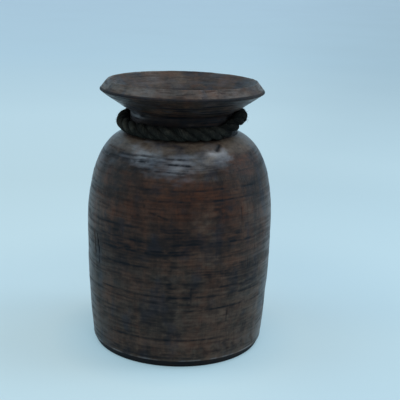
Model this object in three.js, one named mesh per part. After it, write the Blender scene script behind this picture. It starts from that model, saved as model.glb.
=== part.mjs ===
// Carved wooden vase with a rope collar.
// Millimetres, +Z up, origin at the centre of the flat base, -Y is the front.
// One hollow log carries a loop of rope round its neck. The rope's two ends lie side by side
// at the back, where turns of twine bind them.
import * as THREE from 'three';

const degrees = THREE.MathUtils.degToRad;

// Vase, outside: the outline climbs from the base to the mouth in these rises
const baseRadius = 83.4;
const footRadius = 87.5;
const footRise = 6.65;
const bellyRadius = 93.7;
const sideRise = 117.85;
const shoulderRise = 93.4;
const neckRadius = 51.5;
const neckRise = 21.3;
const rimRadius = 81.8;
const flareRise = 18.7;
const rimEdgeRise = 2.7;
const bevelRise = 8.4;
const bevelWidth = 7.5;

// Vase, roundings and the fullness of its curves
const baseSpread = 1.4;
const footTuck = 1.8;
const footLift = 3.6;
const sideSwell = 4.1;
const sideFullness = 44.4;
const shoulderLift = 54.5;
const shoulderReach = 25;
const shoulderDrop = 8.8;
const neckFillet = 5.2;
const flareFillet = 2;
const flareSag = 2;
const rimRounding = 1;
const crestRounding = 1.2;

// Shares of a stretch at which its curve's handles stand
const swellShare = 0.3;
const neckFilletShare = 0.3;
const crestShare = 0.4;
const funnelShare = 0.4;
const funnelFallShare = 0.36;
const ceilingShare = 0.3;
const floorFallShare = 0.4;
const floorShare = 0.5;

// Vase, inside
const sideWall = 12;
const neckWall = 12.5;
const floorThickness = 18;
const throatRise = 20;
const funnelDrop = 36;
const ceilingDrop = 12;
const floorRounding = 14;

// Rope collar: it lies on the shoulder at the front, part of the way up at the left,
// and up against the flare at the right. Angles turn from +X, and the front is at 270.
const ropeDiameter = 13.6;
const collarFrom = degrees(135);
const leftClimb = [degrees(140), degrees(240)];
const leftShare = 0.52;
const rightClimb = [degrees(308), degrees(346)];
const collarTo = degrees(380);
const shortLead = 9;
const longLead = 26;

// Twine that binds the rope's two ends
const twineDiameter = 2;
const twineTurns = 7;
const tieSlope = degrees(36);

// Gaps between neighbours
const seatGap = 0.3;
const bindingGap = 0.35;
const laidGap = 0.5;
const seatSearchStep = 0.02;
const seatTolerance = 0.01;

// Faceting
const bodySegments = 64;
const ropeSteps = 60;
const ropeSides = 10;
const twineStepsPerTurn = 24;
const twineSides = 6;

const ropeRadius = ropeDiameter / 2;
const bellyHeight = footRise + sideRise;
const shoulderTop = bellyHeight + shoulderRise;
const flareStart = shoulderTop + neckRise;
const rimUnder = flareStart + flareRise;
const rimTop = rimUnder + rimEdgeRise;
const vaseHeight = rimTop + bevelRise;
const crestRadius = rimRadius - bevelWidth;
const crestInsideHeight = vaseHeight - crestRounding * (1 - crestShare);

// The outline is drawn in radius and height
function outlinePoints(...pairs) {
  return pairs.map(([radius, height]) => new THREE.Vector2(radius, height));
}

function bend(from, leaving, arriving, to, divisions) {
  return new THREE.CubicBezierCurve(...outlinePoints(from, leaving, arriving, to)).getPoints(divisions);
}

function corner(from, middle, to, divisions) {
  return new THREE.QuadraticBezierCurve(...outlinePoints(from, middle, to)).getPoints(divisions);
}

// A stretch starts where the one before ended, so a point that repeats is dropped
function joined(stretches) {
  const points = stretches.flat();
  return points.filter((point, i) => i === 0 || point.distanceTo(points[i - 1]) > 1e-6);
}

function outsideOutline() {
  const flareEdge = [rimRadius - rimRounding, rimUnder];
  const flareMiddle = [(neckRadius + flareEdge[0]) / 2, (flareStart + rimUnder) / 2 - flareSag];
  const footSlope = (flareMiddle[1] - flareStart) / (flareMiddle[0] - neckRadius);
  const edgeSlope = (rimUnder - flareMiddle[1]) / (flareEdge[0] - flareMiddle[0]);
  const flareFoot = [neckRadius + flareFillet, flareStart + flareFillet * footSlope];
  const crestInside = crestRadius - crestRounding * (1 - crestShare);
  const shoulderEdge = neckRadius + neckFillet;
  const rimMiddle = rimUnder + rimEdgeRise / 2;
  return joined([
    outlinePoints([0, 0]),
    bend([baseRadius, 0], [baseRadius + baseSpread, 0],
      [footRadius - footTuck, footLift], [footRadius, footRise], 5),
    bend([footRadius, footRise], [footRadius + sideSwell, footRise + sideRise * swellShare],
      [bellyRadius, bellyHeight - sideFullness], [bellyRadius, bellyHeight], 7),
    bend([bellyRadius, bellyHeight], [bellyRadius, bellyHeight + shoulderLift],
      [shoulderEdge + shoulderReach, shoulderTop - shoulderDrop], [shoulderEdge, shoulderTop], 12),
    corner([shoulderEdge, shoulderTop], [neckRadius, shoulderTop + neckFillet * neckFilletShare],
      [neckRadius, shoulderTop + neckFillet], 3),
    corner([neckRadius, flareStart - flareFillet], [neckRadius, flareStart], flareFoot, 3),
    corner(flareFoot, flareMiddle, flareEdge, 5),
    corner(flareEdge, [rimRadius, rimUnder + rimRounding * edgeSlope], [rimRadius, rimMiddle], 2),
    corner([rimRadius, rimMiddle], [rimRadius, rimTop - rimRounding / 2],
      [rimRadius - rimRounding, rimTop + rimRounding / 2], 2),
    corner([crestRadius + crestRounding, vaseHeight - crestRounding],
      [crestRadius + crestRounding * crestShare, vaseHeight], [crestRadius, vaseHeight], 2),
    corner([crestRadius, vaseHeight], [crestInside, vaseHeight],
      [crestRadius - crestRounding, crestInsideHeight], 2),
  ]);
}

function insideOutline() {
  const throatRadius = neckRadius - neckWall;
  const throatTop = vaseHeight - funnelDrop;
  const throatBottom = throatTop - throatRise;
  const funnelFall = funnelDrop * funnelFallShare;
  const chamberRadius = bellyRadius - sideWall;
  const cornerRadius = footRadius - sideWall;
  const cornerTop = floorThickness + floorRounding;
  return joined([
    bend([crestRadius - crestRounding, crestInsideHeight],
      [crestRadius - funnelDrop * funnelShare, vaseHeight - funnelFall],
      [throatRadius, throatTop + funnelFall], [throatRadius, throatTop], 7),
    bend([throatRadius, throatBottom], [throatRadius, throatBottom - ceilingDrop],
      [chamberRadius, throatBottom - ceilingDrop * ceilingShare], [chamberRadius, bellyHeight], 9),
    bend([cornerRadius + sideSwell / 2, cornerTop],
      [cornerRadius, floorThickness + floorRounding * floorFallShare],
      [cornerRadius - floorRounding * floorShare, floorThickness],
      [cornerRadius - floorRounding, floorThickness], 4),
    outlinePoints([0, floorThickness]),
  ]);
}

const outside = outsideOutline();

function vaseBody() {
  const geometry = new THREE.LatheGeometry(joined([outside, insideOutline()]), bodySegments);
  const wood = new THREE.MeshStandardMaterial({ color: 0x3a2a22, roughness: 0.45, metalness: 0 });
  const mesh = new THREE.Mesh(geometry, wood);
  mesh.name = 'vase_body';
  mesh.rotation.x = Math.PI / 2;
  return mesh;
}

// Distance from a point beside the vase to its outside surface, both in the plane of the outline
function distanceToVase(radius, height) {
  const point = new THREE.Vector3(radius, height, 0);
  const nearest = new THREE.Vector3();
  let least = Infinity;
  for (let i = 1; i < outside.length; i += 1) {
    const from = new THREE.Vector3(outside[i - 1].x, outside[i - 1].y, 0);
    const to = new THREE.Vector3(outside[i].x, outside[i].y, 0);
    new THREE.Line3(from, to).closestPointToPoint(point, true, nearest);
    least = Math.min(least, nearest.distanceTo(point));
  }
  return least;
}

// The height at which something centred at this radius comes clear of the vase by its reach,
// when it is lifted off the shoulder or let down from the flare
function seatHeight(radius, reach, start, step) {
  let height = start;
  while (distanceToVase(radius, height) < reach - seatTolerance) {
    height += step;
  }
  return height;
}

const collarReach = ropeRadius + seatGap;
const collarRadius = neckRadius + collarReach;
const collarLow = seatHeight(collarRadius, collarReach, shoulderTop, seatSearchStep);
const collarHigh = seatHeight(collarRadius, collarReach, flareStart, -seatSearchStep);

// Where the bound ends cross the back: the inner one clears the neck by the twine, and the
// outer one lies beside it and lower
const boundReach = ropeRadius + bindingGap + twineDiameter + seatGap;
const tieSpacing = ropeDiameter + laidGap;
const innerDistance = neckRadius + boundReach;
const innerHeight = seatHeight(innerDistance, boundReach, flareStart, -seatSearchStep);
const innerCrossing = new THREE.Vector3(0, innerDistance, innerHeight);
const outwardAndDown = new THREE.Vector3(0, Math.cos(tieSlope), -Math.sin(tieSlope));
const outerCrossing = innerCrossing.clone().addScaledVector(outwardAndDown, tieSpacing);
const twinePitch = twineDiameter + laidGap;
const tieHalfLength = (twineTurns * twinePitch + twineDiameter) / 2;
const straightHalfLength = tieHalfLength + ropeDiameter;

// The loop from the left of the back, round the front, to the right of the back
class CollarRun extends THREE.Curve {
  getPoint(t, target = new THREE.Vector3()) {
    const angle = THREE.MathUtils.lerp(collarFrom, collarTo, t);
    const left = leftShare * (1 - THREE.MathUtils.smoothstep(angle, ...leftClimb));
    const right = THREE.MathUtils.smoothstep(angle, ...rightClimb);
    const height = THREE.MathUtils.lerp(collarLow, collarHigh, left + right);
    return target.set(collarRadius * Math.cos(angle), collarRadius * Math.sin(angle), height);
  }
}

function ropeRoute() {
  const run = new CollarRun();
  const toRight = new THREE.Vector3(1, 0, 0);
  const innerStart = innerCrossing.clone().addScaledVector(toRight, straightHalfLength);
  const innerLeave = innerCrossing.clone().addScaledVector(toRight, -tieHalfLength);
  const outerArrive = outerCrossing.clone().addScaledVector(toRight, straightHalfLength);
  const outerStop = outerCrossing.clone().addScaledVector(toRight, -straightHalfLength);
  const runStart = run.getPoint(0);
  const runStop = run.getPoint(1);
  const route = new THREE.CurvePath();
  route.add(new THREE.LineCurve3(innerStart, innerLeave));
  route.add(new THREE.CubicBezierCurve3(
    innerLeave,
    innerLeave.clone().addScaledVector(toRight, -shortLead),
    runStart.clone().addScaledVector(run.getTangent(0), -shortLead),
    runStart,
  ));
  route.add(run);
  route.add(new THREE.CubicBezierCurve3(
    runStop,
    runStop.clone().addScaledVector(run.getTangent(1), longLead),
    outerArrive.clone().addScaledVector(toRight, longLead),
    outerArrive,
  ));
  route.add(new THREE.LineCurve3(outerArrive, outerStop));
  return route;
}

// Turns of twine round both rope ends, wound along X about the origin.
// Half a turn is half a straight side, a half circle about one rope and half the other
// straight side, and the other half turn is the same on the far side.
class TwineRun extends THREE.Curve {
  constructor() {
    super();
    this.windingRadius = ropeRadius + bindingGap + twineDiameter / 2;
    this.halfTurn = tieSpacing + Math.PI * this.windingRadius;
    this.arcLengthDivisions = twineTurns * twineStepsPerTurn * 4;
  }

  getPoint(t, target = new THREE.Vector3()) {
    const halfSide = tieSpacing / 2;
    const distance = t * twineTurns * 2 * this.halfTurn;
    const halfTurnsDone = Math.floor(distance / this.halfTurn);
    const along = distance - halfTurnsDone * this.halfTurn;
    const roundTheRope = along - halfSide;
    const afterTheRope = roundTheRope - Math.PI * this.windingRadius;
    let across = along;
    let up = this.windingRadius;
    if (roundTheRope > 0) {
      const angle = Math.PI / 2 - roundTheRope / this.windingRadius;
      across = halfSide + this.windingRadius * Math.cos(angle);
      up = this.windingRadius * Math.sin(angle);
    }
    if (afterTheRope > 0) {
      across = halfSide - afterTheRope;
      up = -this.windingRadius;
    }
    const sign = halfTurnsDone % 2 === 0 ? 1 : -1;
    return target.set((t - 0.5) * twineTurns * twinePitch, sign * across, sign * up);
  }
}

function tube(route, radius, steps, sides) {
  const section = new THREE.Shape(Array.from({ length: sides }, (_, i) => {
    const angle = (i / sides) * 2 * Math.PI;
    return new THREE.Vector2(radius, 0).rotateAround(new THREE.Vector2(), angle);
  }));
  return new THREE.ExtrudeGeometry(section, { steps, bevelEnabled: false, extrudePath: route });
}

// The least distance between two turns of one tube, measured from surface to surface
function leastSelfGap(route, diameter) {
  const samples = Math.ceil(route.getLength());
  const spacing = route.getLength() / samples;
  const points = route.getSpacedPoints(samples);
  const apart = Math.ceil((3 * diameter) / spacing);
  let least = Infinity;
  for (let i = 0; i < points.length; i += 1) {
    for (let j = i + apart; j < points.length; j += 1) {
      least = Math.min(least, points[i].distanceTo(points[j]) - diameter);
    }
  }
  return least;
}

function neckRope() {
  const route = ropeRoute();
  const fibre = new THREE.MeshStandardMaterial({ color: 0x1d1a18, roughness: 0.95, metalness: 0 });
  const mesh = new THREE.Mesh(tube(route, ropeRadius, ropeSteps, ropeSides), fibre);
  mesh.name = 'neck_rope';
  console.log(`neck_rope: least gap to itself ${leastSelfGap(route, ropeDiameter).toFixed(2)} mm`);
  return mesh;
}

function ropeSeizing() {
  const route = new TwineRun();
  const twine = new THREE.MeshStandardMaterial({ color: 0x2b231c, roughness: 0.9, metalness: 0 });
  const steps = twineTurns * twineStepsPerTurn;
  const mesh = new THREE.Mesh(tube(route, twineDiameter / 2, steps, twineSides), twine);
  mesh.name = 'rope_seizing';
  mesh.rotation.x = -tieSlope;
  mesh.position.lerpVectors(innerCrossing, outerCrossing, 0.5);
  console.log(`rope_seizing: least gap to itself ${leastSelfGap(route, twineDiameter).toFixed(2)} mm`);
  return mesh;
}

// The rope and its binding turn together round the neck
const collar = new THREE.Group();
collar.add(neckRope(), ropeSeizing());

const vase = new THREE.Group();
vase.add(vaseBody(), collar);

export default vase;
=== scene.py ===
"""A turned wooden vase with a loop of dark rope round its neck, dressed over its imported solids."""

import math

import bpy
import numpy as np
from mathutils import Matrix


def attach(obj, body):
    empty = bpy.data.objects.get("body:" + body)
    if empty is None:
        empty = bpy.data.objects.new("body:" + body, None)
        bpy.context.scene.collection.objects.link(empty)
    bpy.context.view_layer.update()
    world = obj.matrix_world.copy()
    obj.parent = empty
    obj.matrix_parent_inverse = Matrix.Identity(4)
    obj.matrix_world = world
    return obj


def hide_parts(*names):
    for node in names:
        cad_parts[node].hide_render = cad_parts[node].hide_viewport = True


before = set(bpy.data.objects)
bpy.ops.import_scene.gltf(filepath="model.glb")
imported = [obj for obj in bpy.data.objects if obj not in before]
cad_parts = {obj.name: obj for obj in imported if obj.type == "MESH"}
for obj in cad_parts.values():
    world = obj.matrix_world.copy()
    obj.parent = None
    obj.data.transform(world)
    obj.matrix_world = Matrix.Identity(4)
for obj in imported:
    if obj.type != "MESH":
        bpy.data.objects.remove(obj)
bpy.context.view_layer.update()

MM = 0.001
TURN = 2 * math.pi


def added(name, data):
    """A new object in the scene."""
    made = bpy.data.objects.new(name, data)
    bpy.context.scene.collection.objects.link(made)
    return made


# Camera, from the photograph's view

CAMERA_PLACE = (20.43, -890.3, 380.35)
CAMERA_PITCH = 14.714
CAMERA_ROLL = 1.673
CAMERA_LENS = 81
CAMERA_SENSOR = 36
CAMERA_SEES = (0.05, 20)


def set_camera():
    view = bpy.data.cameras.new("photo_view")
    view.sensor_width, view.lens = CAMERA_SENSOR, CAMERA_LENS
    view.clip_start, view.clip_end = CAMERA_SEES
    camera = added("photo_view", view)
    place = Matrix.Translation([value * MM for value in CAMERA_PLACE])
    look_down = Matrix.Rotation(math.radians(90 - CAMERA_PITCH), 4, "X")
    lean = Matrix.Rotation(math.radians(CAMERA_ROLL), 4, "Z")
    camera.matrix_world = place @ look_down @ lean
    bpy.context.scene.camera = camera


set_camera()


# Finishes: shader maths reads as Python

def paint(red, green, blue):
    """A colour as it looks on a screen, out of 255, in the light values that a shader takes."""
    values = [part / 255 for part in (red, green, blue)]
    light = [v / 12.92 if v <= 0.04045 else ((v + 0.055) / 1.055) ** 2.4 for v in values]
    return (*light, 1)


class Level:
    """A value that changes over a surface. Sums on it add their Math nodes."""

    def __init__(self, finish, socket):
        self.finish = finish
        self.socket = socket

    def __add__(self, other):
        return self.finish.maths("ADD", self, other)

    def __sub__(self, other):
        return self.finish.maths("SUBTRACT", self, other)

    def __rsub__(self, other):
        return self.finish.maths("SUBTRACT", other, self)

    def __mul__(self, other):
        return self.finish.maths("MULTIPLY", self, other)

    def __truediv__(self, other):
        return self.finish.maths("DIVIDE", self, other)

    __radd__ = __add__
    __rmul__ = __mul__


class Finish:
    """A material for one of the vase's own surfaces, or the room's light where a world is given."""

    def __init__(self, name, world=None):
        self.material = world or bpy.data.materials.new(name)
        self.material.use_nodes = True
        self.nodes = self.material.node_tree.nodes
        self.links = self.material.node_tree.links
        self.nodes.clear()

    def node(self, kind, settings, values, output=0):
        """Adds a node, sets it, feeds its sockets with numbers or links, and hands back one output."""
        made = self.nodes.new(kind)
        for name, setting in settings.items():
            setattr(made, name, setting)
        for name, value in values.items():
            if isinstance(value, Level):
                self.links.new(value.socket, made.inputs[name])
            else:
                made.inputs[name].default_value = value
        return Level(self, made.outputs[output]) if len(made.outputs) else None

    def maths(self, operation, first, second, clamp=False):
        settings = {"operation": operation, "use_clamp": clamp}
        return self.node("ShaderNodeMath", settings, {0: first, 1: second})

    def limit(self, level):
        return self.maths("ADD", level, 0, clamp=True)

    def rise(self, level, start, stop):
        """0 below start, 1 above stop, smooth between them."""
        settings = {"interpolation_type": "SMOOTHSTEP"}
        return self.node("ShaderNodeMapRange", settings, {0: level, 1: start, 2: stop, 3: 0, 4: 1})

    def place(self):
        return self.node("ShaderNodeTexCoord", {}, {}, "Object")

    def stretched(self, vector, scale):
        """Coordinates in which a pattern is drawn out along one of its directions."""
        settings = {"operation": "MULTIPLY"}
        return self.node("ShaderNodeVectorMath", settings, {0: vector, 1: scale})

    def noise(self, vector, scale=1, detail=3, roughness=0.55):
        values = {"Vector": vector, "Scale": scale, "Detail": detail, "Roughness": roughness}
        return self.node("ShaderNodeTexNoise", {}, values, "Fac")

    def mark(self, name, output="Fac"):
        """A value or a direction painted on the mesh's points."""
        return self.node("ShaderNodeAttribute", {"attribute_name": name}, {}, output)

    def ramp(self, level, stops):
        made = self.node("ShaderNodeValToRGB", {}, {"Fac": level})
        elements = made.socket.node.color_ramp.elements
        while len(elements) < len(stops):
            elements.new(1)
        for element, (place, colour) in zip(elements, stops):
            element.position = place
            element.color = colour
        return made

    def blend(self, share, first, second):
        """Two colours mixed. The node keeps the share from 0 to 1."""
        return self.node("ShaderNodeMix", {"data_type": "RGBA"}, {0: share, 6: first, 7: second}, 2)

    def relief(self, height, distance, strength):
        values = {"Strength": strength, "Distance": distance, "Height": height}
        return self.node("ShaderNodeBump", {}, values, "Normal")

    def surface(self, values):
        shader = self.node("ShaderNodeBsdfPrincipled", {}, values)
        self.node("ShaderNodeOutputMaterial", {}, {"Surface": shader})
        return self.material


# Values painted on the wood's points, and the colours. Blackening and hollow also carry painted shade, and
# paleness and polish also carry painted light
MARKS = ("turned_lines", "blackening_and_shade", "redness", "paleness_and_light", "polish_and_highlight", "hollow")
BLACK_STAIN_AND_SHADE = paint(11, 11, 16)
DEEP_BROWN = paint(23, 18, 16)
WOOD_BROWN = paint(51, 37, 29)
WARM_BROWN = paint(82, 56, 41)
RED_BROWN = paint(81, 42, 21)
PALE_BROWN = paint(102, 87, 73)
BLUE_REFLECTION = paint(32, 35, 45)
# Pale blue-grey of the painted highlight on the gleams
PAINTED_HIGHLIGHT = paint(122, 124, 130)
ROPE_TONES = [(0.05, paint(9, 9, 8)), (0.5, paint(31, 30, 26)), (0.95, paint(68, 64, 54))]
TWINE_TONES = [(0, paint(20, 16, 13)), (0.5, paint(44, 35, 27)), (1, paint(78, 63, 47))]


def dark_wood():
    """Stained wood: fibres run up the log, and tool marks run round it."""
    wood = Finish("dark_wood")
    place = wood.place()

    def pattern(across, along, detail, roughness=0.55):
        return wood.noise(wood.stretched(place, (across, across, along)), 1, detail, roughness) - 0.5

    clouds = pattern(34, 24, 4)
    patches = pattern(90, 75, 4, 0.6)
    flecks = pattern(240, 330, 3, 0.65)
    fibres = pattern(560, 26, 4, 0.62)
    streaks = pattern(130, 11, 3)
    tint = pattern(62, 34, 2)
    tool_marks = pattern(22, 330, 3, 0.65)
    broad_marks = pattern(13, 130, 3)
    checks = wood.rise(pattern(420, 46, 2), 0.1, 0.22)
    turned, black, red, pale, polish_and_highlight, hollow = (wood.mark(name) for name in MARKS)

    tone = wood.limit(clouds * 1.2 + patches * 0.6 + flecks * 0.7 + streaks * 0.8
                      + tool_marks * 0.7 + broad_marks * 0.9 + 0.5)
    brown = wood.ramp(tone, [(0.1, DEEP_BROWN), (0.5, WOOD_BROWN), (0.92, WARM_BROWN)])
    redder = red * (0.6 + patches * 1.2 + flecks * 0.9) + wood.rise(tint, 0.02, 0.2) * 0.29
    reddened = wood.blend(redder, brown, RED_BROWN)
    paler = pale * (0.75 + fibres * 0.8 + flecks * 0.9)
    lightened = wood.blend(paler, reddened, PALE_BROWN)
    # Painted reflection: dark bluish patches stand in for the pale blue room reflected in the dark wood
    blue = wood.rise(0 - tint, 0.02, 0.2) * (0.5 - red * 0.6)
    with_blue_reflection = wood.blend(blue, lightened, BLUE_REFLECTION)
    # Painted highlight: a pale blue-grey colour is blended in where the polish mark is strong, so the
    # gleams spread
    highlighted = wood.blend(polish_and_highlight * 0.5 - 0.13, with_blue_reflection, PAINTED_HIGHLIGHT)

    strokes = wood.rise(tool_marks + broad_marks * 0.7, 0.07, 0.2)
    # Dark stains, and the painted shade on the neck, flare, foot and in hollows, blend towards the
    # near-black colour
    stains_and_shade = wood.rise(black + tool_marks * 0.25 + patches * 0.2 + broad_marks * 0.3, 0.05, 1.1)
    dark = wood.limit(turned * (0.92 + tool_marks * 0.5) + stains_and_shade * 0.56 + strokes * 0.24
                      + checks * 0.12 + hollow * 0.45 - fibres * 0.2)
    colour = wood.blend(dark, highlighted, BLACK_STAIN_AND_SHADE)

    roughness = wood.limit(0.5 - polish_and_highlight * 0.16 + fibres * 0.3 + dark * 0.1 + hollow * 0.3)
    height = fibres * 0.5 + tool_marks * 0.65 - checks * 0.4 + broad_marks * 0.6 + patches * 0.5
    wax = polish_and_highlight * (0.72 + patches * 0.4 + tool_marks * 0.25) - dark * 0.5 - turned * 0.5
    return wood.surface({
        "Base Color": colour,
        "Roughness": roughness,
        "Specular IOR Level": 0.14,
        "Coat Weight": wood.limit(wax),
        "Coat Roughness": 0.28,
        "Normal": wood.relief(height, 0.0004, 0.6),
    })


def rope_fibre():
    """Blackened plant fibre. The yarns' own direction is painted on the mesh."""
    rope = Finish("rope_fibre")
    lay = rope.mark("yarn_lay", "Vector")
    fibres = rope.noise(rope.stretched(lay, (160, 9, 9)), detail=4, roughness=0.65)
    tufts = rope.noise(rope.place(), scale=130, detail=3)
    proud = rope.mark("proud")
    # Strand crests lighter from wear, and painted shade between strands and on the rope's right end
    tone = rope.limit((fibres - 0.5) * 1.7 + tufts + proud * 0.32 - 0.3)
    return rope.surface({
        "Base Color": rope.ramp(tone, ROPE_TONES),
        "Roughness": 0.9,
        "Specular IOR Level": 0.08,
        "Normal": rope.relief(fibres, 0.0006, 0.8),
    })


def binding_twine():
    """Thin dark brown twine with a little wax on it."""
    twine = Finish("binding_twine")
    lay = twine.mark("yarn_lay", "Vector")
    fibres = twine.noise(twine.stretched(lay, (420, 5, 5)), detail=3)
    tone = twine.limit((fibres - 0.5) * 1.4 + twine.mark("proud") * 0.3 + 0.3)
    return twine.surface({
        "Base Color": twine.ramp(tone, TWINE_TONES),
        "Roughness": 0.75,
        "Specular IOR Level": 0.35,
        "Normal": twine.relief(fibres, 0.0003, 0.7),
    })


# Meshes. A curve's samples, by how many points steer it

CURVE_SAMPLES = {2: 2, 3: 60, 4: 300}


def make_piece(name, points, faces, material, body, marks):
    """A smooth mesh in millimetres, with values painted on its points, that rides on a body."""
    mesh = bpy.data.meshes.new(name)
    mesh.from_pydata((points * MM).tolist(), [], faces)
    for mark, values in marks.items():
        kind, field = ("FLOAT", "value") if values.ndim == 1 else ("FLOAT_VECTOR", "vector")
        mesh.attributes.new(mark, kind, "POINT").data.foreach_set(field, values.ravel())
    mesh.shade_smooth()
    mesh.materials.append(material)
    piece = added(name, mesh)
    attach(piece, body)
    return piece


def wrapped_faces(grid):
    """Faces between the neighbours in a grid of point numbers whose rows close on themselves."""
    beside = np.roll(grid, -1, axis=1)
    return np.stack([grid[:-1], beside[:-1], beside[1:], grid[1:]], -1).reshape(-1, 4).tolist()


def curve(*points):
    """A straight line between two points, or the smooth curve that three or four of them steer."""
    t = np.linspace(0, 1, CURVE_SAMPLES[len(points)])[:, None]
    points = [np.array(point, float) for point in points]
    while len(points) > 1:
        points = [(1 - t) * before + t * after for before, after in zip(points, points[1:])]
    return points[0]


def unit(vectors):
    return vectors / np.linalg.norm(vectors, axis=-1, keepdims=True)


def length_along(points):
    steps = np.linalg.norm(np.diff(points, axis=0), axis=1)
    return np.concatenate([[0], np.cumsum(steps)])


def spaced(points, spacing):
    """The same line with its points this far apart."""
    length = length_along(points)
    count = max(2, int(round(length[-1] / spacing)) + 1)
    at = np.linspace(0, length[-1], count)
    return np.stack([np.interp(at, length, values) for values in points.T], 1)


def ease(values, start, stop):
    share = np.clip((values - start) / (stop - start), 0, 1)
    return share * share * (3 - 2 * share)


# The vase's outline in radius and height, from the sizes that its solid has

BASE_RADIUS = 83.4
BASE_SPREAD = 1.4
FOOT_RADIUS = 87.5
FOOT_RISE = 6.65
FOOT_TUCK = 1.8
FOOT_LIFT = 3.6
BELLY_RADIUS = 93.7
SIDE_RISE = 117.85
SIDE_SWELL = 4.1
SWELL_SHARE = 0.3
SIDE_FULLNESS = 44.4
SHOULDER_RISE = 93.4
SHOULDER_LIFT = 54.5
SHOULDER_REACH = 25
SHOULDER_DROP = 8.8
NECK_RADIUS = 51.5
NECK_RISE = 21.3
RIM_RADIUS = 81.8
FLARE_RISE = 18.7
RIM_EDGE_RISE = 2.7
BEVEL_RISE = 8.4
BEVEL_WIDTH = 7.5
NECK_FILLET = 5.2
NECK_FILLET_SHARE = 0.3
FLARE_FILLET = 2
FLARE_SAG = 2
RIM_ROUNDING = 1
CREST_ROUNDING = 1.2
CREST_SHARE = 0.4
SIDE_WALL = 12
NECK_WALL = 12.5
FLOOR = 18
FUNNEL_DROP = 36
FUNNEL_SHARE = 0.4
FUNNEL_FALL_SHARE = 0.36
THROAT_RISE = 20
CEILING_DROP = 12
CEILING_SHARE = 0.3
FLOOR_ROUNDING = 14
FLOOR_FALL_SHARE = 0.4
FLOOR_SHARE = 0.5

BELLY_HEIGHT = FOOT_RISE + SIDE_RISE
SHOULDER_TOP = BELLY_HEIGHT + SHOULDER_RISE
FLARE_START = SHOULDER_TOP + NECK_RISE
RIM_UNDER = FLARE_START + FLARE_RISE
RIM_TOP = RIM_UNDER + RIM_EDGE_RISE
VASE_HEIGHT = RIM_TOP + BEVEL_RISE
CREST_RADIUS = RIM_RADIUS - BEVEL_WIDTH
THROAT_TOP = VASE_HEIGHT - FUNNEL_DROP
THROAT_BOTTOM = THROAT_TOP - THROAT_RISE
WALL_ROW = 0.7


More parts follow.
